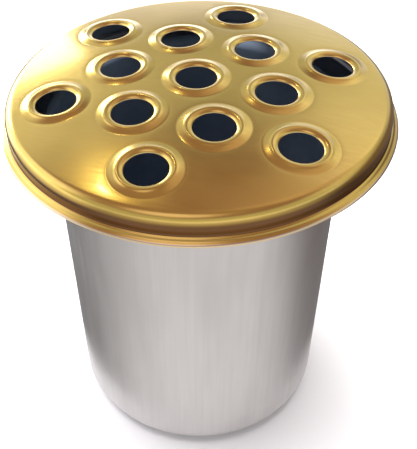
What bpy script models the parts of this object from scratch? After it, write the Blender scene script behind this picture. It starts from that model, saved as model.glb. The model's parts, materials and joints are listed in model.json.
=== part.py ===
"""Flower-pot insert for a memorial stone: a drawn aluminium pot with a domed, pierced lid.

Run with: blender --background --python part.py
Metres, +Z up. The origin is at the middle of the pot's base, on the surface that it stands on.
The pot hangs by its flange in a round hole in the stone, or stands on its base. The lid rests on
that flange, is held sideways by the raised ring on it, and lifts straight off along +Z.
"""

import math

import bpy
from mathutils import Matrix, Vector

# Sheet metal
POT_SHEET = 0.0010
LID_SHEET = 0.0008
GAP = 0.0003  # between the lid's rolled edge and the flange below it

# Pot
POT_HEIGHT = 0.1305  # base to the top of the flange
WALL_TOP_RADIUS = 0.0505
WALL_FOOT_RADIUS = 0.0490
BASE_CORNER = 0.0060
NECK_FILLET = 0.0022  # under the flange
FLANGE_RADIUS = 0.0657
RING_RADIUS = 0.0622  # middle of the raised ring that the lid fits round
RING_BULGE = 0.0013
GROOVE = 0.0007  # the same ring, seen as a groove from below

# Lid
LID_RADIUS = 0.0675
EDGE_ROLL = 0.00115  # radius of the rolled edge
DOME_RADIUS = 0.4167
SHOULDER = 0.0032  # bend between the dome and the lid's wall
LID_WALL_TOP = 0.06455
LID_WALL_FOOT = 0.06490
LID_RISE = 0.01295  # middle of the rolled edge to the top of the dome
VALLEY_RISE = 0.0004  # the wall meets the rolled edge this far up its inner side

# Stem holes: one in the middle, six round it and six further out, on a triangular grid
HOLE_RADIUS = 0.00685
PITCH = 0.0274
CREST_RADIUS = 0.0089
CREST_HALF = 0.0005  # half the crest's width
FOOT_RADIUS = 0.0114
FLANK = 0.0012  # width of the slow start of the slope at the foot
FLANK_HEIGHT = 0.00033
CREST_HEIGHT = 0.0011  # the raised rim round each hole, above the dome
LIP_HEIGHT = 0.0006  # the hole's edge, above the dome
LAP = 0.0006  # the raised rim runs this far into the dome's sheet, to be one with it

TURNS = 48
HOLE_TURNS = 16

ROLL_Z = POT_HEIGHT + GAP + EDGE_ROLL
ROLL_RADIUS = LID_RADIUS - EDGE_ROLL
DOME_TOP = ROLL_Z + LID_RISE


def clear_scene():
    for obj in list(bpy.data.objects):
        bpy.data.objects.remove(obj)


def collection(name):
    made = bpy.data.collections.new(name)
    bpy.context.scene.collection.children.link(made)
    return made


def metal(name, colour, roughness):
    made = bpy.data.materials.new(name)
    made.use_nodes = True
    made.diffuse_color = (*colour, 1.0)
    shader = made.node_tree.nodes["Principled BSDF"]
    shader.inputs["Base Color"].default_value = (*colour, 1.0)
    shader.inputs["Metallic"].default_value = 1.0
    shader.inputs["Roughness"].default_value = roughness
    return made


def arc(middle, radius, start, end, steps):
    """Points of an arc in the profile plane, with both ends, angles in degrees from the +X side."""
    points = []
    for i in range(steps + 1):
        angle = math.radians(start + (end - start) * i / steps)
        points.append((middle[0] + radius * math.cos(angle), middle[1] + radius * math.sin(angle)))
    return points


def turned(name, profile, turns, home, closed=False):
    """A profile of (radius, height) points turned round Z. It runs down its outer side."""
    edges = [(i, i + 1) for i in range(len(profile) - 1)]
    if closed:
        edges.append((len(profile) - 1, 0))
    mesh = bpy.data.meshes.new(name)
    mesh.from_pydata([(radius, 0.0, height) for radius, height in profile], edges, [])
    obj = bpy.data.objects.new(name, mesh)
    home.objects.link(obj)
    screw = obj.modifiers.new("Turn", "SCREW")
    screw.axis = "Z"
    screw.steps = screw.render_steps = turns
    screw.use_merge_vertices = True
    screw.merge_threshold = 1e-6
    screw.use_smooth_shade = True
    return obj


def applied(obj):
    """The object with its modifiers made part of its mesh."""
    graph = bpy.context.evaluated_depsgraph_get()
    mesh = bpy.data.meshes.new_from_object(obj.evaluated_get(graph))
    obj.modifiers.clear()
    obj.data = mesh
    return obj


def boolean(obj, other, operation):
    modifier = obj.modifiers.new(f"{operation.title()} {other.name}", "BOOLEAN")
    modifier.operation = operation
    modifier.solver = "EXACT"
    modifier.object = other


def finish_surface(obj, material):
    applied(obj)
    obj.data.materials.clear()
    obj.data.materials.append(material)
    obj.data.shade_smooth()
    obj.data.set_sharp_from_angle(angle=math.radians(35))


def pot_profile():
    """From the middle of the floor, up the inside, over the flange and down the outside."""
    flange_foot = POT_HEIGHT - POT_SHEET
    neck = (WALL_TOP_RADIUS + NECK_FILLET, flange_foot - NECK_FILLET)
    corner = (WALL_FOOT_RADIUS - BASE_CORNER, BASE_CORNER)
    inside = arc(corner, BASE_CORNER - POT_SHEET, -90, 0, 4)
    inside += arc(neck, NECK_FILLET + POT_SHEET, 180, 90, 4)
    ring = arc((RING_RADIUS, POT_HEIGHT), RING_BULGE, 180, 0, 4)
    edge = [(FLANGE_RADIUS, POT_HEIGHT), (FLANGE_RADIUS, flange_foot)]
    groove = arc((RING_RADIUS, flange_foot), GROOVE, 0, 180, 3)
    outside = arc(neck, NECK_FILLET, 90, 180, 4) + arc(corner, BASE_CORNER, 0, -90, 5)
    return [(0.0, POT_SHEET)] + inside + ring + edge + groove + outside + [(0.0, 0.0)]


def dome_height(radius):
    """Height of the dome's outer skin at this distance from the axis."""
    return DOME_TOP - DOME_RADIUS + math.sqrt(DOME_RADIUS**2 - radius**2)


def lid_skin(depth):
    """The dome and shoulder of the lid, from the axis outwards, this far under the outer skin."""
    bend = (LID_WALL_TOP - SHOULDER, dome_height(LID_WALL_TOP - SHOULDER) - SHOULDER)
    radii = [bend[0] * share for share in (0.0, 0.3, 0.55, 0.78)]
    dome = [(radius, dome_height(radius) - depth) for radius in radii]
    return dome + arc(bend, SHOULDER - depth, 82, 2, 4)


def lid_profile():
    """From the top of the dome down the outside, round the rolled edge and back up the inside."""
    roll = arc((ROLL_RADIUS, ROLL_Z), EDGE_ROLL, 150, -150, 8)
    valley = (LID_WALL_FOOT, roll[0][1] + VALLEY_RISE)
    inner_foot = (LID_WALL_FOOT - LID_SHEET, roll[-1][1])
    return lid_skin(0.0) + [valley] + roll + [inner_foot] + lid_skin(LID_SHEET)[::-1]


def rim_profile():
    """The sheet round one hole, with its height measured from the dome's outer skin."""
    upper = [
        (FOOT_RADIUS - FLANK, FLANK_HEIGHT),
        (CREST_RADIUS + CREST_HALF, CREST_HEIGHT),
        (CREST_RADIUS - CREST_HALF, CREST_HEIGHT),
        (HOLE_RADIUS, LIP_HEIGHT),
    ]
    lower = [
        (HOLE_RADIUS, LIP_HEIGHT - LID_SHEET),
        (CREST_RADIUS, CREST_HEIGHT - LID_SHEET),
        (FOOT_RADIUS - FLANK, FLANK_HEIGHT - LID_SHEET),
    ]
    lap = [(FOOT_RADIUS + LAP, -LID_SHEET * share) for share in (0.35, 0.65)]
    return lap[:1] + upper + lower + lap[1:]


def hole_places():
    """The matrix that carries a shape from the origin to each hole, square to the dome there."""
    spots = [(0.0, 0.0)]
    for ring, turn in ((PITCH, 0.0), (PITCH * math.sqrt(3.0), math.radians(30))):
        spots += [(ring, turn + math.radians(60) * i) for i in range(6)]
    places = []
    for radius, angle in spots:
        spot = Vector((radius * math.cos(angle), radius * math.sin(angle), dome_height(radius)))
        tilt = Matrix.Rotation(math.asin(radius / DOME_RADIUS), 4, "Y")
        places.append(Matrix.Translation(spot) @ Matrix.Rotation(angle, 4, "Z") @ tilt)
    return places


def copies(name, mesh, places, home):
    """One helper object that holds a copy of the mesh at each place."""
    made = []
    for place in places:
        copy = bpy.data.objects.new(name, mesh.copy())
        copy.data.transform(place)
        home.objects.link(copy)
        made.append(copy)
    with bpy.context.temp_override(
        active_object=made[0], selected_objects=made, selected_editable_objects=made
    ):
        bpy.ops.object.join()
    made[0].hide_render = True
    made[0].display_type = "WIRE"
    return made[0]


def hole_cutters(places, home):
    """Drills that leave room for the raised rims."""
    bpy.ops.mesh.primitive_cylinder_add(
        vertices=HOLE_TURNS, radius=FOOT_RADIUS - FLANK / 2, depth=8 * LID_SHEET
    )
    drill = bpy.context.object
    cutters = copies("hole cutters", drill.data, places, home)
    bpy.data.objects.remove(drill)
    return cutters


def raised_rims(places, home):
    rim = applied(turned("rim", rim_profile(), HOLE_TURNS, home, closed=True))
    rims = copies("raised rims", rim.data, places, home)
    bpy.data.objects.remove(rim)
    return rims


def make_pot(parts):
    pot = turned("pot", pot_profile(), TURNS, parts)
    finish_surface(pot, metal("silver aluminium", (0.72, 0.70, 0.69), 0.30))


def make_lid(parts, helpers):
    lid = turned("lid", lid_profile(), TURNS, parts)
    places = hole_places()
    boolean(lid, hole_cutters(places, helpers), "DIFFERENCE")
    boolean(lid, raised_rims(places, helpers), "UNION")
    finish_surface(lid, metal("gold anodised aluminium", (0.72, 0.50, 0.17), 0.24))


def main():
    clear_scene()
    parts = collection("memorial flower pot")
    helpers = collection("helpers")
    make_pot(parts)
    make_lid(parts, helpers)


main()
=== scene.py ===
"""The looks of a memorial flower pot: a gold, pierced lid on a silver drawn pot.

Each of the two pieces is pressed from one sheet. So each is built here as one closed skin with its
real sheet thickness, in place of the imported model's plainer solid.
Metres, +Z up. The origin is at the middle of the pot's base.
"""

import json
import math

import bpy
import numpy as np
from mathutils import Matrix, Vector
from mathutils.geometry import delaunay_2d_cdt


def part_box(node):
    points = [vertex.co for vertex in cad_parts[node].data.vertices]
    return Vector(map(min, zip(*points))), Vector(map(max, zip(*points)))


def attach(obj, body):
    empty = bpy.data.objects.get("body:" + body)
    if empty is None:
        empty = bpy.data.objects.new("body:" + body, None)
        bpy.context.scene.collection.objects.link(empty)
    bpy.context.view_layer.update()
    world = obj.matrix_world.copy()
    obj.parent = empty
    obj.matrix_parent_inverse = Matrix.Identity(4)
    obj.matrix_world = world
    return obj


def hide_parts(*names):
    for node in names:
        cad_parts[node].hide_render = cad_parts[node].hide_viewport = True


MM = 0.001

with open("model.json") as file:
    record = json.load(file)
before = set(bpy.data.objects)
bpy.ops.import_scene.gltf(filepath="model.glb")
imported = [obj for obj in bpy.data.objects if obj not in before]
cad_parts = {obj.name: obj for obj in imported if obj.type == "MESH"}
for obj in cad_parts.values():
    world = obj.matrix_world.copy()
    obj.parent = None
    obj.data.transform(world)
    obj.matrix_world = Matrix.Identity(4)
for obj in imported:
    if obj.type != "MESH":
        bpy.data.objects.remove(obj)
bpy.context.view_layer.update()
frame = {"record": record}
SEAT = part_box("lid")[0].z  # underside of the lid's rolled edge

# Lid, in metres
DOME_RADIUS = 0.4167
DOME_TOP = 0.1449
DOME_EDGE = 0.0619  # the dome is one even curve out to here
LID_SHEET = 0.0008
HOLE_TURNS = 72  # points round a stem hole
LID_TURNS = 240  # points round the lid
SHEET_GRID = 0.0016  # spacing of the dome's grid of points
SHEET_GRID_END = 0.0597  # the grid goes out to this radius
EDGE_RINGS = (0.0604, 0.0609, 0.0614)  # rings of points between the grid and the dome's edge
CURVE_STEPS = 3  # points of a section curve from one of its guide points to the next

# The sheet round a stem hole, in mm from the hole's axis and over the dome: from the foot of the
# raised rim, over its crest, round the pierced edge and back underneath.
RIM_TOP = [
    (12.5, 0.0), (12.15, -0.02), (11.8, -0.01), (11.4, 0.06), (10.95, 0.16), (10.5, 0.27),
    (10.1, 0.37), (9.8, 0.46), (9.55, 0.56), (9.3, 0.66), (9.05, 0.73), (8.75, 0.75),
    (8.45, 0.72), (8.15, 0.65), (7.85, 0.55), (7.55, 0.42), (7.28, 0.27), (7.08, 0.11),
]  # fmt: skip
RIM_EDGE = [(6.94, -0.05), (6.86, -0.18), (6.86, -0.32), (6.98, -0.42), (7.16, -0.40)]
RIM_UNDER = [
    (7.50, -0.30), (7.95, -0.20), (8.4, -0.11), (8.8, -0.05), (9.2, -0.10), (9.7, -0.32),
    (10.3, -0.50), (11.0, -0.68), (11.7, -0.81), (12.2, -0.82), (12.5, -0.80),
]  # fmt: skip

# The lid's rim under its rounded shoulder, in mm from the axis and over the seat: a wall that leans
# in a little, the rolled edge that slopes out with two fine beads on it, and the wall's inner side.
SHOULDER_RADIUS = 3.7
WALL = [(65.04, 5.3), (64.98, 4.6), (64.9, 3.9), (64.84, 3.2), (64.82, 2.65)]
EDGE = [
    (64.90, 2.34), (65.10, 2.14), (65.38, 2.02), (65.68, 1.82), (65.92, 1.56), (66.14, 1.36),
    (66.38, 1.22), (66.66, 1.08), (66.94, 0.92), (67.20, 0.72), (67.38, 0.48), (67.44, 0.28),
    (67.36, 0.12), (67.10, 0.03), (66.60, 0.0), (65.80, 0.0), (65.2, 0.0), (64.6, -0.01),
]  # fmt: skip
UNDER_WALL = [
    (64.2, -0.01), (63.92, 0.06), (63.82, 0.4), (63.84, 1.2), (63.9, 2.4), (64.0, 3.8),
    (64.2, 5.0),
]  # fmt: skip

# Painted shade and rubbing on the lid's rim, measured in the same way. Inside PAINTED_SHADE_RADIUS
# the rim's outer side is painted dark, as shade, from the height PAINTED_SHADE_FROM down, fully so
# once
# PAINTED_SHADE_FADE below that. It is rubbed bare within RUBBED_WIDTH of RUBBED_RADIUS, above the
# height RUBBED_ABOVE.
PAINTED_SHADE_RADIUS = 65.1
PAINTED_SHADE_FROM = 8.0
PAINTED_SHADE_FADE = 2.4
RUBBED_RADIUS = 67.2
RUBBED_WIDTH = 0.5
RUBBED_ABOVE = 0.3
RUBBED_MOST = 0.7

# Pot, in mm
POT_SHEET = 1.0
POT_TURNS = 240  # points round the pot
FOOT_RADIUS = 49.0
FOOT_CORNER = 9.5  # radius of the rounded corner at the foot
NECK_RADIUS = 52.7  # the bend out of the wall ends here, and the flat flange begins
NECK_BEND = 2.2  # radius of that bend
RING_HEIGHT = 1.3  # the flange's raised ring, over the flange
FLANGE_EDGE = 65.2  # middle of the flange's rounded edge
MOUTH_RADIUS = 53.5  # the inside's dull, dark finish of painted shade starts here
BASE_RADII = (0.0, 0.5, 4, 12, 20, 27, 33, 37)
WALL_RADII = (47, 51)  # both sides of the wall lie between these

# Stage, in metres
MIRRORED_FLOOR = 0.061  # only the floor inside this radius is mirrored in the object
FLOOR_RADIUS = 3.0
FLOOR_TURNS = 96
LAMP_AIM = 0.13  # height of the point that the panels face

# Directions are given as seen from the camera: degrees to the right of straight ahead, then up.
CAMERA_TURN = math.radians(22.95)
RIGHT = Vector((math.cos(CAMERA_TURN), math.sin(CAMERA_TURN), 0.0))
AHEAD = Vector((-math.sin(CAMERA_TURN), math.cos(CAMERA_TURN), 0.0))


def direction(across, up):
    """The unit vector that points this way."""
    across, up = math.radians(across), math.radians(up)
    level = RIGHT * math.sin(across) + AHEAD * math.cos(across)
    return level * math.cos(up) + Vector((0.0, 0.0, math.sin(up)))


# --- Shapes ------------------------------------------------------------------------------------


def smooth(points, steps):
    """A smooth curve guided by these points: a cubic B-spline that starts and ends on them."""
    points = np.array(points, float)
    guide = np.vstack([2 * points[0] - points[1], points, 2 * points[-1] - points[-2]])
    curve = []
    for i in range(len(guide) - 3):
        for t in np.arange(steps) / steps:
            share = [(1 - t) ** 3, 3 * t**3 - 6 * t**2 + 4, -3 * t**3 + 3 * t**2 + 3 * t + 1, t**3]
            curve.append(np.array(share) / 6 @ guide[i : i + 4])
    curve.append(points[-1])
    return curve


def around(radius, turns):
    """Points of a level circle round the axis, as (x, y)."""
    angle = np.arange(turns) * 2 * math.pi / turns
    return radius * np.stack([np.cos(angle), np.sin(angle)], 1)


def level_ring(radius, height, turns):
    """Points of a level circle round the axis at this height, as (x, y, z)."""
    return np.hstack([around(radius, turns), np.full((turns, 1), height)])


def on_dome(plan, height):
    """Points this far above the dome's outer skin, square to it, over these (x, y) points."""
    drop = np.sqrt(DOME_RADIUS**2 - (plan**2).sum(1, keepdims=True))
    square = np.hstack([plan, drop]) / DOME_RADIUS
    middle = np.array([0.0, 0.0, DOME_TOP - DOME_RADIUS])
    return middle + square * (DOME_RADIUS + height)


def waves(points, height, length, count, seed):
    """A gentle unevenness: a sum of waves in several directions, read at each (x, y, z)."""
    shortest, longest = 0.6, 1.6  # the waves' lengths, as shares of the one asked for
    random = np.random.default_rng(seed)
    total = np.zeros(len(points))
    for _ in range(count):
        way = random.normal(size=3)
        way *= 2 * math.pi / (np.linalg.norm(way) * length * random.uniform(shortest, longest))
        total += np.sin(points @ way + random.uniform(0, 2 * math.pi))
    return total * height / math.sqrt(count)


class Shell:
    """The points and faces of one skin while it is put together, and at each point how bare it is
    rubbed and how much painted shade it gets.
    """

    def __init__(self):
        self.points, self.bare, self.soiled = [], [], []
        self.faces, self.finishes = [], []

    def add(self, points, bare=0.0, soiled=0.0):
        first = len(self.points)
        self.points += [tuple(point) for point in points]
        self.bare += [bare] * len(points)
        self.soiled += [soiled] * len(points)
        return list(range(first, len(self.points)))

    def face(self, corners, finish=0):
        self.faces.append(tuple(corners))
        self.finishes.append(finish)

    def strip(self, one, two, finish=0):
        """Faces between two rings, facing up where ring two is the wider one of a level pair."""
        for i in range(len(one)):
            j = (i + 1) % len(one)
            self.face((one[i], two[i], two[j], one[j]), finish)

    def piece(self, name):
        mesh = bpy.data.meshes.new(name)
        mesh.from_pydata(self.points, [], self.faces)
        for wear_and_shade, values in (("bare", self.bare), ("soiled", self.soiled)):
            mesh.attributes.new(wear_and_shade, "FLOAT", "POINT").data.foreach_set("value", values)
        mesh.polygons.foreach_set("material_index", self.finishes)
        mesh.shade_smooth()
        piece = bpy.data.objects.new(name, mesh)
        bpy.context.scene.collection.objects.link(piece)
        return piece


def hump(value, middle, width):
    """1 at the middle, falling smoothly to 0 at this distance from it."""
    share = min(abs(value - middle) / width, 1.0)
    return 1.0 - share * share * (3.0 - 2.0 * share)


def stem_holes():
    """The (x, y) of each stem hole, from the openings that the record states."""
    openings = frame["record"]["physics"]["openings"]
    boxes = [o["box_m"] for o in openings if o["name"].startswith("stem_hole")]
    return [np.array([(low[0] + high[0]) / 2, (low[1] + high[1]) / 2]) for low, high in boxes]


def sheet_grid(loops, holes, foot):
    """Fills the dome between its edge and the raised rims' feet: its inner points, and triangles
    that count the loops' points first and then the inner ones."""
    inner = [plan for radius in EDGE_RINGS for plan in around(radius, LID_TURNS)]
    rows = int(DOME_EDGE / SHEET_GRID) + 1
    for row in range(-rows, rows + 1):
        for column in range(-rows, rows + 1):
            point = np.array([column + 0.5 * (row % 2), row * math.sqrt(3) / 2]) * SHEET_GRID
            clear = all(np.linalg.norm(point - hole) > foot + SHEET_GRID / 2 for hole in holes)
            if clear and np.linalg.norm(point) < SHEET_GRID_END:
                inner.append(point)
    plan, edges = [], []
    for loop in loops:
        first = len(plan)
        plan += [Vector(point) for point in loop]
        edges += [(first + i, first + (i + 1) % len(loop)) for i in range(len(loop))]
    plan += [Vector(point) for point in inner]
    whole_hull = 0
    same_point = 1e-9
    _, _, faces, sources, _, _ = delaunay_2d_cdt(plan, edges, [], whole_hull, same_point)
    triangles = []  # all but those inside a rim's foot
    for face in faces:
        corners = [sources[i][0] for i in face]
        middle = np.mean([plan[i] for i in corners], axis=0)
        if all(np.linalg.norm(middle - hole) > foot * 0.999 for hole in holes):
            triangles.append(corners)
    return np.array(inner), triangles


def arc(middle, radius, start, end, steps):
    """Points of an arc in the profile plane, with both ends, angles in degrees from +X."""
    angles = np.radians(np.linspace(start, end, steps + 1))
    return [(middle[0] + radius * math.cos(a), middle[1] + radius * math.sin(a)) for a in angles]


def straight(start, end, steps=48):
    """Points of a straight run in the profile plane, without its ends."""
    start, end = np.array(start), np.array(end)
    return [tuple(start + (end - start) * share) for share in np.arange(1, steps) / steps]


def add_hole_rim(shell, hole):
    """The raised rim round one stem hole, bare at its pierced edge. Gives its outermost ring on
    the sheet's upper side, and the one underneath."""
    rim = smooth(RIM_TOP + RIM_EDGE + RIM_UNDER, CURVE_STEPS)
    under_rim = (len(RIM_TOP) + len(RIM_EDGE)) * CURVE_STEPS
    bare_middle = under_rim - 8  # this and the width are counted in points of the curve
    bare_width = 9
    rings = []
    for i, (distance, height) in enumerate(rim):
        plan = hole + around(distance * MM, HOLE_TURNS)
        bare = hump(i, bare_middle, bare_width)
        rings.append(shell.add(on_dome(plan, height * MM), bare=bare))
    for i, (one, two) in enumerate(zip(rings, rings[1:])):
        shell.strip(two, one, finish=int(i > under_rim))
    return rings[0], rings[-1]


def add_lid_rim(shell):
    """The lid outside its dome: the shoulder, the wall, the rolled edge and the same sheet's inner
    side. Gives the first ring and the last one."""
    top = on_dome(np.array([[DOME_EDGE, 0.0]]), 0.0)[0]
    slope = math.degrees(math.asin(DOME_EDGE / DOME_RADIUS))
    edge = np.array([top[0], top[2] - SEAT]) / MM
    lean = math.radians(slope)
    middle = edge - SHOULDER_RADIUS * np.array([math.sin(lean), math.cos(lean)])
    shoulder = arc(middle, SHOULDER_RADIUS, 90 - slope, 0, steps=18)
    outer = smooth(WALL + EDGE + UNDER_WALL, CURVE_STEPS)
    inner = arc(middle, SHOULDER_RADIUS - LID_SHEET / MM, 0, 90 - slope, steps=10)
    under_edge = len(shoulder) + (len(WALL) + len(EDGE)) * CURVE_STEPS
    rings = []
    for distance, height in shoulder + outer + inner:
        points = level_ring(distance * MM, SEAT + height * MM, LID_TURNS)
        # Painted shade in the recess of the wall, on the sheet's outer side, darker further down.
        in_recess = distance < PAINTED_SHADE_RADIUS and len(rings) < under_edge
        soiled = (1.0 - hump(min(height, PAINTED_SHADE_FROM), PAINTED_SHADE_FROM, PAINTED_SHADE_FADE)) * in_recess
        rubbed = RUBBED_MOST * hump(distance, RUBBED_RADIUS, RUBBED_WIDTH) * (height > RUBBED_ABOVE)
        rings.append(shell.add(points, bare=rubbed, soiled=soiled))
    for i, (one, two) in enumerate(zip(rings, rings[1:])):
        shell.strip(one, two, finish=int(i > under_edge))
    return rings[0], rings[-1]


def make_lid():
    """The lid: a pierced dome with a rounded shoulder and a rolled edge, as one closed skin."""
    shell = Shell()
    holes = stem_holes()
    foot = RIM_TOP[0][0] * MM
    loops, tops, unders = [], [], []
    for hole in holes:
        top, under = add_hole_rim(shell, hole)
        loops.append(hole + around(foot, HOLE_TURNS))
        tops += top
        unders += under
    loops.append(around(DOME_EDGE, LID_TURNS))
    top, under = add_lid_rim(shell)
    tops += top
    unders += under

    inner, triangles = sheet_grid(loops, holes, foot)
    tops += shell.add(on_dome(inner, 0.0))
    unders += shell.add(on_dome(inner, -LID_SHEET))
    for corners in triangles:
        shell.face(tops[i] for i in corners)
        shell.face((unders[i] for i in reversed(corners)), finish=1)

    points = np.array(shell.points)
    level = points * (1, 1, 0)
    points[:, 2] += waves(level, height=0.026 * MM, length=36 * MM, count=9, seed=5)
    shell.points = points.tolist()
    return shell.piece("gold_lid")


def pot_profiles():
    """The pot's outer side from the middle of the base up to the flange's edge, and its inner
    side from there down to the middle of the floor, in mm."""
    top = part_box("pot")[1].z / MM - RING_HEIGHT
    under = top - POT_SHEET
    neck = (NECK_RADIUS, under - NECK_BEND)
    corner = (FOOT_RADIUS - FOOT_CORNER, FOOT_CORNER)
    ring_under = [(61.2, under), (61.8, top - 0.5), (62.6, top - 0.5), (63.2, under)]
    ring_top = [
        (63.5, top), (63.0, top + 0.9), (62.2, top + 1.7), (61.4, top + 0.9), (60.9, top),
    ]  # fmt: skip

    outside = [(radius, 0.0) for radius in BASE_RADII]
    outside += arc(corner, FOOT_CORNER, -90, 0, steps=18)
    outside += straight(outside[-1], (NECK_RADIUS - NECK_BEND, neck[1]))
    outside += arc(neck, NECK_BEND, 180, 90, steps=8)
    outside += [(54.5, under), (57.5, under), (60.6, under)]
    outside += smooth(ring_under, 3)
    outside += [(64.0, under)]
    outside += arc((FLANGE_EDGE, top - POT_SHEET / 2), POT_SHEET / 2, -90, 90, steps=8)

    inside = [(64.4, top), (63.8, top)]
    inside += smooth(ring_top, 4)
    inside += [(59.5, top), (56.5, top), (54.0, top)]
    inside += arc(neck, NECK_BEND + POT_SHEET, 90, 180, steps=10)
    inside += straight(inside[-1], (FOOT_RADIUS - POT_SHEET, FOOT_CORNER))
    inside += arc(corner, FOOT_CORNER - POT_SHEET, 0, -90, steps=14)
    inside += [(radius, POT_SHEET) for radius in reversed(BASE_RADII)]
    return outside, inside


def make_pot():
    """The pot: a round wall, a flat base and a flange, as one closed skin."""
    outside, inside = pot_profiles()
    profile = (outside + inside)[1:-1]
    shell = Shell()
    rings = []
    for distance, height in profile:
        rings.append(shell.add(level_ring(distance * MM, height * MM, POT_TURNS)))
    for i, (one, two) in enumerate(zip(rings, rings[1:])):
        # The inside, inward of MOUTH_RADIUS, gets the dark material of painted shade.
        within = i > len(outside) and profile[i][0] < MOUTH_RADIUS
        shell.strip(two, one, finish=int(within))
    for ring, height, turn in ((rings[0], 0.0, 1), (rings[-1], POT_SHEET * MM, -1)):
        middle = shell.add([(0.0, 0.0, height)])[0]
        for i in range(POT_TURNS):
            j = (i + 1) % POT_TURNS
            shell.face((middle, ring[j], ring[i])[::turn], finish=int(turn < 0))

    points = np.array(shell.points)
    drawn = points * (1.0, 1.0, 0.12)  # the wall's waves are long upwards
    swell = waves(drawn, height=0.02 * MM, length=26 * MM, count=10, seed=3)[:, None]
    radius = np.linalg.norm(points[:, :2], axis=1, keepdims=True)
    on_wall = (radius > WALL_RADII[0] * MM) & (radius < WALL_RADII[1] * MM)
    points[:, :2] += np.where(on_wall, points[:, :2] / np.maximum(radius, MM) * swell, 0.0)
    shell.points = points.tolist()
    return shell.piece("silver_pot")


# --- Materials ---------------------------------------------------------------------------------


class Nodes:
    """Adds nodes to a tree, each input given as a value or as another node's output."""

    def __init__(self, tree):
        self.tree = tree

    def add(self, kind, inputs=(), **settings):
        node = self.tree.nodes.new("ShaderNode" + kind)
        for name, value in settings.items():
            setattr(node, name, value)
        for name, value in dict(inputs).items():
            if isinstance(value, bpy.types.NodeSocket):
                self.tree.links.new(value, node.inputs[name])
            else:
                node.inputs[name].default_value = value
        return node

    def noise(self, place, scale, detail=3.0, stretch=(1, 1, 1)):
        """Even noise between about 0.3 and 0.7, finer with a larger scale."""
        moved = self.add("Mapping", {"Vector": place, "Scale": stretch}).outputs["Vector"]
        inputs = {"Vector": moved, "Scale": scale, "Detail": detail, "Roughness": 0.55}
        return self.add("TexNoise", inputs).outputs["Fac"]

    def between(self, value, start, end, low, high):
        """The value's range from start to end, carried to low to high and kept inside it."""
        inputs = {"Value": value, "From Min": start, "From Max": end, "To Min": low, "To Max": high}
        return self.add("MapRange", inputs).outputs["Result"]

    def math(self, operation, one, two):
        return self.add("Math", {0: one, 1: two}, operation=operation).outputs[0]

    def mix(self, share, one, two):
        node = self.add("Mix", data_type="RGBA")
        for socket, value in ((0, share), (6, one), (7, two)):
            if isinstance(value, bpy.types.NodeSocket):
                self.tree.links.new(value, node.inputs[socket])
            else:
                node.inputs[socket].default_value = value if socket == 0 else (*value, 1.0)
        return node.outputs[2]

    def wear_and_shade(self, name):
        return self.add("Attribute", attribute_name=name).outputs["Fac"]

    def bump(self, height, strength, distance, normal=None):
        inputs = {"Height": height, "Strength": strength, "Distance": distance}
        if normal is not None:
            inputs["Normal"] = normal
        return self.add("Bump", inputs).outputs["Normal"]


def new_finish(name, colour, roughness, metallic=1.0):
    """A plain material, its shader, and what is needed to add texture to it: its nodes and the
    place on the object."""
    material = bpy.data.materials.new(name)
    material.use_nodes = True
    material.diffuse_color = (*colour, 1.0)
    shader = material.node_tree.nodes["Principled BSDF"]
    shader.inputs["Metallic"].default_value = metallic
    shader.inputs["Roughness"].default_value = roughness
    nodes = Nodes(material.node_tree)
    place = nodes.add("TexCoord").outputs["Object"]
    return material, nodes, shader, place


def connect(nodes, shader, **inputs):
    """Links the shader's inputs, named with _ for each space, to these outputs."""
    for name, socket in inputs.items():
        nodes.tree.links.new(socket, shader.inputs[name.replace("_", " ")])


def gold_material():
    """Pressed sheet, gold anodised: a dyed, slightly uneven satin under a clear hard oxide. It is
    bare metal where the edges are rubbed. The wall's recess has painted shade: dark brown, with no
    clear coat."""
    colour = (0.72, 0.50, 0.17)
    material, nodes, shader, place = new_finish("gold anodised aluminium", colour, 0.2)
    cloud = nodes.noise(place, 42, 2)
    grain = nodes.noise(place, 900, 4, stretch=(0.06, 1, 1))
    satin = nodes.noise(place, 5200, 2)
    patches = nodes.between(cloud, 0.35, 0.65, 0, 1)
    dye = nodes.mix(patches, (0.69, 0.465, 0.095), (0.74, 0.51, 0.115))
    lines = nodes.between(grain, 0.35, 0.7, 0, 0.25)
    dye = nodes.mix(lines, dye, (0.62, 0.40, 0.065))
    # Painted shade: the recess of the wall is mixed towards dark brown.
    shade_share = nodes.math("MULTIPLY", nodes.wear_and_shade("soiled"), 0.9)
    shaded_dye = nodes.mix(shade_share, dye, (0.115, 0.043, 0.030))
    worn = nodes.mix(nodes.wear_and_shade("bare"), shaded_dye, (0.80, 0.66, 0.58))
    rough = nodes.between(nodes.math("ADD", cloud, grain), 0.7, 1.3, 0.17, 0.25)
    normal = nodes.bump(grain, strength=0.028, distance=0.0002)
    normal = nodes.bump(satin, strength=0.04, distance=0.0001, normal=normal)
    # The clear coat fades out where the painted shade is.
    oxide = nodes.between(nodes.wear_and_shade("soiled"), 0, 1, 0.6, 0.0)
    connect(nodes, shader, Base_Color=worn, Roughness=rough, Normal=normal, Coat_Weight=oxide)
    shader.inputs["Coat Roughness"].default_value = 0.10
    shader.inputs["Coat IOR"].default_value = 1.6
    return material


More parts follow.
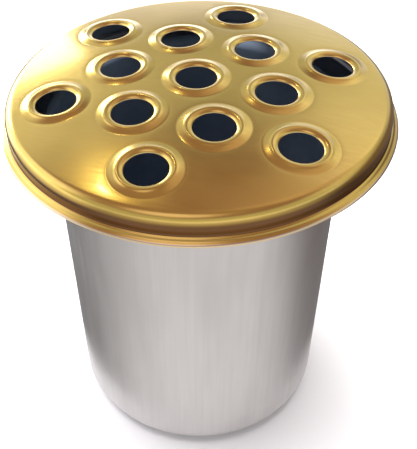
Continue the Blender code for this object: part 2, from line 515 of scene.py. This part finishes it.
def silver_material():
    """Drawn sheet: satin, with the fine upright streaks that the drawing die leaves."""
    colour = (0.72, 0.70, 0.69)
    material, nodes, shader, place = new_finish("silver drawn aluminium", colour, 0.34)
    cloud = nodes.noise(place, 55, 3, stretch=(1, 1, 0.25))
    streak = nodes.noise(place, 700, 3, stretch=(1, 1, 0.02))
    line = nodes.noise(place, 2600, 2, stretch=(1, 1, 0.008))
    patches = nodes.between(cloud, 0.35, 0.65, 0, 1)
    metal = nodes.mix(patches, (0.585, 0.565, 0.56), (0.66, 0.64, 0.635))
    streaks = nodes.between(streak, 0.4, 0.7, 0, 0.16)
    metal = nodes.mix(streaks, metal, (0.50, 0.48, 0.475))
    rough = nodes.between(nodes.math("ADD", cloud, streak), 0.7, 1.3, 0.29, 0.40)
    normal = nodes.bump(streak, strength=0.04, distance=0.0003)
    normal = nodes.bump(line, strength=0.03, distance=0.0001, normal=normal)
    connect(nodes, shader, Base_Color=metal, Roughness=rough, Normal=normal)
    return material


def shaded_inside_material():
    """The pot's inside and the lid's underside: a dull, dark blue-grey that is painted shade, for
    the shade inside the pot and under the lid.
    """
    colour = (0.10, 0.12, 0.16)
    material, nodes, shader, place = new_finish("dark inside", colour, 0.5, metallic=0.0)
    cloud = nodes.noise(place, 70, 4)
    streak = nodes.noise(place, 500, 3, stretch=(1, 1, 0.03))
    patches = nodes.between(cloud, 0.35, 0.65, 0, 1)
    dull = nodes.mix(patches, (0.21, 0.275, 0.365), (0.265, 0.33, 0.43))
    rough = nodes.between(streak, 0.3, 0.7, 0.38, 0.6)
    normal = nodes.bump(streak, strength=0.1, distance=0.0003)
    connect(nodes, shader, Base_Color=dull, Roughness=rough, Normal=normal)
    return material


# --- Stage -------------------------------------------------------------------------------------


def facing(way):
    """The turn of a camera or a lamp that stands out in this direction and looks back."""
    return way.to_track_quat("Z", "Y").to_matrix().to_4x4()


def make_camera():
    """The camera at the photograph's angle. Its sideways shift is the photograph's own framing."""
    back = direction(180, 42.645)
    aim = Vector((-0.00671, -0.03111, 0.10333))
    distance = 0.28
    roll = math.radians(-3.38)
    camera = bpy.data.objects.new("camera", bpy.data.cameras.new("camera"))
    bpy.context.scene.collection.objects.link(camera)
    camera.data.lens = 65.23
    camera.data.shift_x = 0.1303
    camera.data.clip_start = 0.01
    place = Matrix.Translation(aim + back * distance)
    camera.matrix_world = place @ facing(back) @ Matrix.Rotation(roll, 4, "Z")
    bpy.context.scene.camera = camera


def make_floor():
    """A plain pale floor. What lies close round the object is mirrored in it, and the rest isn't."""
    material = bpy.data.materials.new("pale paper")
    material.use_nodes = True
    shader = material.node_tree.nodes["Principled BSDF"]
    shader.inputs["Base Color"].default_value = (0.90, 0.90, 0.90, 1.0)
    shader.inputs["Roughness"].default_value = 0.9
    shader.inputs["Specular IOR Level"].default_value = 0.0
    near, far = Shell(), Shell()
    near.face(near.add(level_ring(MIRRORED_FLOOR, 0.0, FLOOR_TURNS)))
    inner = far.add(level_ring(MIRRORED_FLOOR, 0.0, FLOOR_TURNS))
    outer = far.add(level_ring(FLOOR_RADIUS, 0.0, FLOOR_TURNS))
    far.strip(inner, outer)
    for name, shell, mirrored in (("near_floor", near, True), ("floor", far, False)):
        floor = shell.piece(name)
        floor.data.materials.append(material)
        floor.visible_glossy = mirrored


def add_lamp(data, way, distance=0.0):
    """Puts a lamp this far out in a direction, shining back from it."""
    lamp = bpy.data.objects.new(data.name, data)
    bpy.context.scene.collection.objects.link(lamp)
    place = Vector((0.0, 0.0, LAMP_AIM)) + way * distance
    lamp.matrix_world = Matrix.Translation(place) @ facing(way)
    return lamp


def panel(name, across, up, distance, width, height, radiance, colour=(1, 1, 1)):
    """A soft rectangular light that faces the object, with an even brightness."""
    data = bpy.data.lights.new(name, "AREA")
    data.shape = "RECTANGLE"
    data.size, data.size_y = width, height
    data.energy = radiance * math.pi * width * height
    data.color = colour
    lamp = add_lamp(data, direction(across, up), distance)
    lamp.visible_camera = False


def make_lights():
    """A window beyond the object on the left, a small warm lamp high up beyond it, and a wide light
    from nearly overhead."""
    panel("window", -28, 16, 2.4, width=1.4, height=0.76, radiance=4.5)
    warm = (1.0, 0.95, 0.58)
    panel("warm lamp", -15.5, 52.2, 4.0, width=0.09, height=0.09, radiance=84.0, colour=warm)
    fill = bpy.data.lights.new("overhead fill", "SUN")
    fill.energy = 4.0
    fill.angle = math.radians(50)
    lamp = add_lamp(fill, direction(-30, 80))
    lamp.visible_glossy = False


def patch(nodes, way, across, up, inner, outer):
    """1 within the inner angle from this direction, falling smoothly to 0 at the outer one."""
    middle = tuple(direction(across, up))
    near = nodes.add("VectorMath", {0: way, 1: middle}, operation="DOT_PRODUCT").outputs["Value"]
    edge, core = math.cos(math.radians(outer)), math.cos(math.radians(inner))
    inputs = {"Value": near, "From Min": edge, "From Max": core}
    return nodes.add("MapRange", inputs, interpolation_type="SMOOTHSTEP").outputs["Result"]


def make_world():
    """A plain studio, soft and uneven. Its brightness is a ramp from below to overhead, with soft
    patches added to it or taken away, and one darker, warm patch to the right. The camera itself
    sees plain white."""
    world = bpy.data.worlds.new("studio")
    world.use_nodes = True
    bpy.context.scene.world = world
    nodes = Nodes(world.node_tree)
    way = nodes.add("TexCoord").outputs["Generated"]
    rise = nodes.add("SeparateXYZ", {"Vector": way}).outputs["Z"]
    ramp = nodes.add("ValToRGB", {"Fac": nodes.between(rise, -1, 1, 0, 1)})
    # Degrees up, and the colour there
    stops = [
        (-90, (0.75, 0.74, 0.73)), (-60, (0.34, 0.33, 0.32)), (-35, (0.20, 0.195, 0.19)),
        (-3, (0.26, 0.26, 0.25)), (12, (0.94, 0.97, 1.15)), (18, (0.72, 0.75, 0.82)),
        (24, (0.59, 0.60, 0.47)), (34, (0.62, 0.64, 0.60)), (40, (0.60, 0.61, 0.60)),
        (46, (0.45, 0.395, 0.43)), (52, (0.34, 0.24, 0.26)), (58, (0.36, 0.225, 0.24)),
        (72, (0.385, 0.26, 0.25)), (90, (0.40, 0.28, 0.26)),
    ]  # fmt: skip
    elements = ramp.color_ramp.elements
    for i, (elevation, colour) in enumerate(stops):
        place = (math.sin(math.radians(elevation)) + 1) / 2
        element = elements[i] if i < 2 else elements.new(place)
        element.position = place
        element.color = (*colour, 1.0)
    light = ramp.outputs["Color"]
    # Each patch's direction as degrees across and up, the angles from its middle at which it
    # begins to fade and ends, and the colour that it adds
    patches = [
        (180, -42, 25, 78, (0.66, 0.64, 0.63)),
        (38, 36, 7, 18, (0.30, 0.31, 0.34)),
        (22, 17, 3, 12, (0.25, 0.27, 0.30)),
        (13, 44, 3, 14, (-0.16, -0.16, -0.15)),
        (7, 20, 2, 9, (-0.13, -0.13, -0.14)),
        (-23, 38, 3, 17, (0.14, 0.15, 0.17)),
        (-150, 69, 4, 22, (0.75, 0.72, 0.85)),
        (3, -9, 9, 21, (1.7, 1.75, 1.9)),
        (-44, 0, 9, 24, (1.8, 1.85, 2.1)),
        (-88, -6, 12, 38, (0.95, 0.95, 0.95)),
        (-70, 33, 10, 28, (1.1, 1.1, 1.25)),
        (50, 53, 7, 27, (0.34, 0.31, 0.29)),
        (92, 34, 8, 24, (0.22, 0.20, 0.18)),
    ]
    for across, up, inner, outer, colour in patches:
        share = patch(nodes, way, across, up, inner, outer)
        glow = nodes.add("VectorMath", {0: colour, "Scale": share}, operation="SCALE").outputs[0]
        light = nodes.add("VectorMath", {0: light, 1: glow}, operation="ADD").outputs[0]
    darker = patch(nodes, way, across=75, up=-12, inner=20, outer=43)
    light = nodes.mix(darker, light, (0.20, 0.155, 0.15))
    seen = nodes.add("LightPath").outputs["Is Camera Ray"]
    light = nodes.mix(seen, light, (1.0, 1.0, 1.0))
    tree = world.node_tree
    tree.links.new(light, tree.nodes["Background"].inputs["Color"])


def main():
    scene = bpy.context.scene
    scene.view_settings.view_transform = "Standard"
    make_camera()
    make_floor()
    make_lights()
    make_world()

    lid = make_lid()
    # The dark inside material is painted shade on the pot's inside and the lid's underside.
    inside = shaded_inside_material()
    lid.data.materials.append(gold_material())
    lid.data.materials.append(inside)
    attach(lid, "lid")
    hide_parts("lid")

    pot = make_pot()
    pot.data.materials.append(silver_material())
    pot.data.materials.append(inside)
    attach(pot, "pot")
    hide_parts("pot")


main()
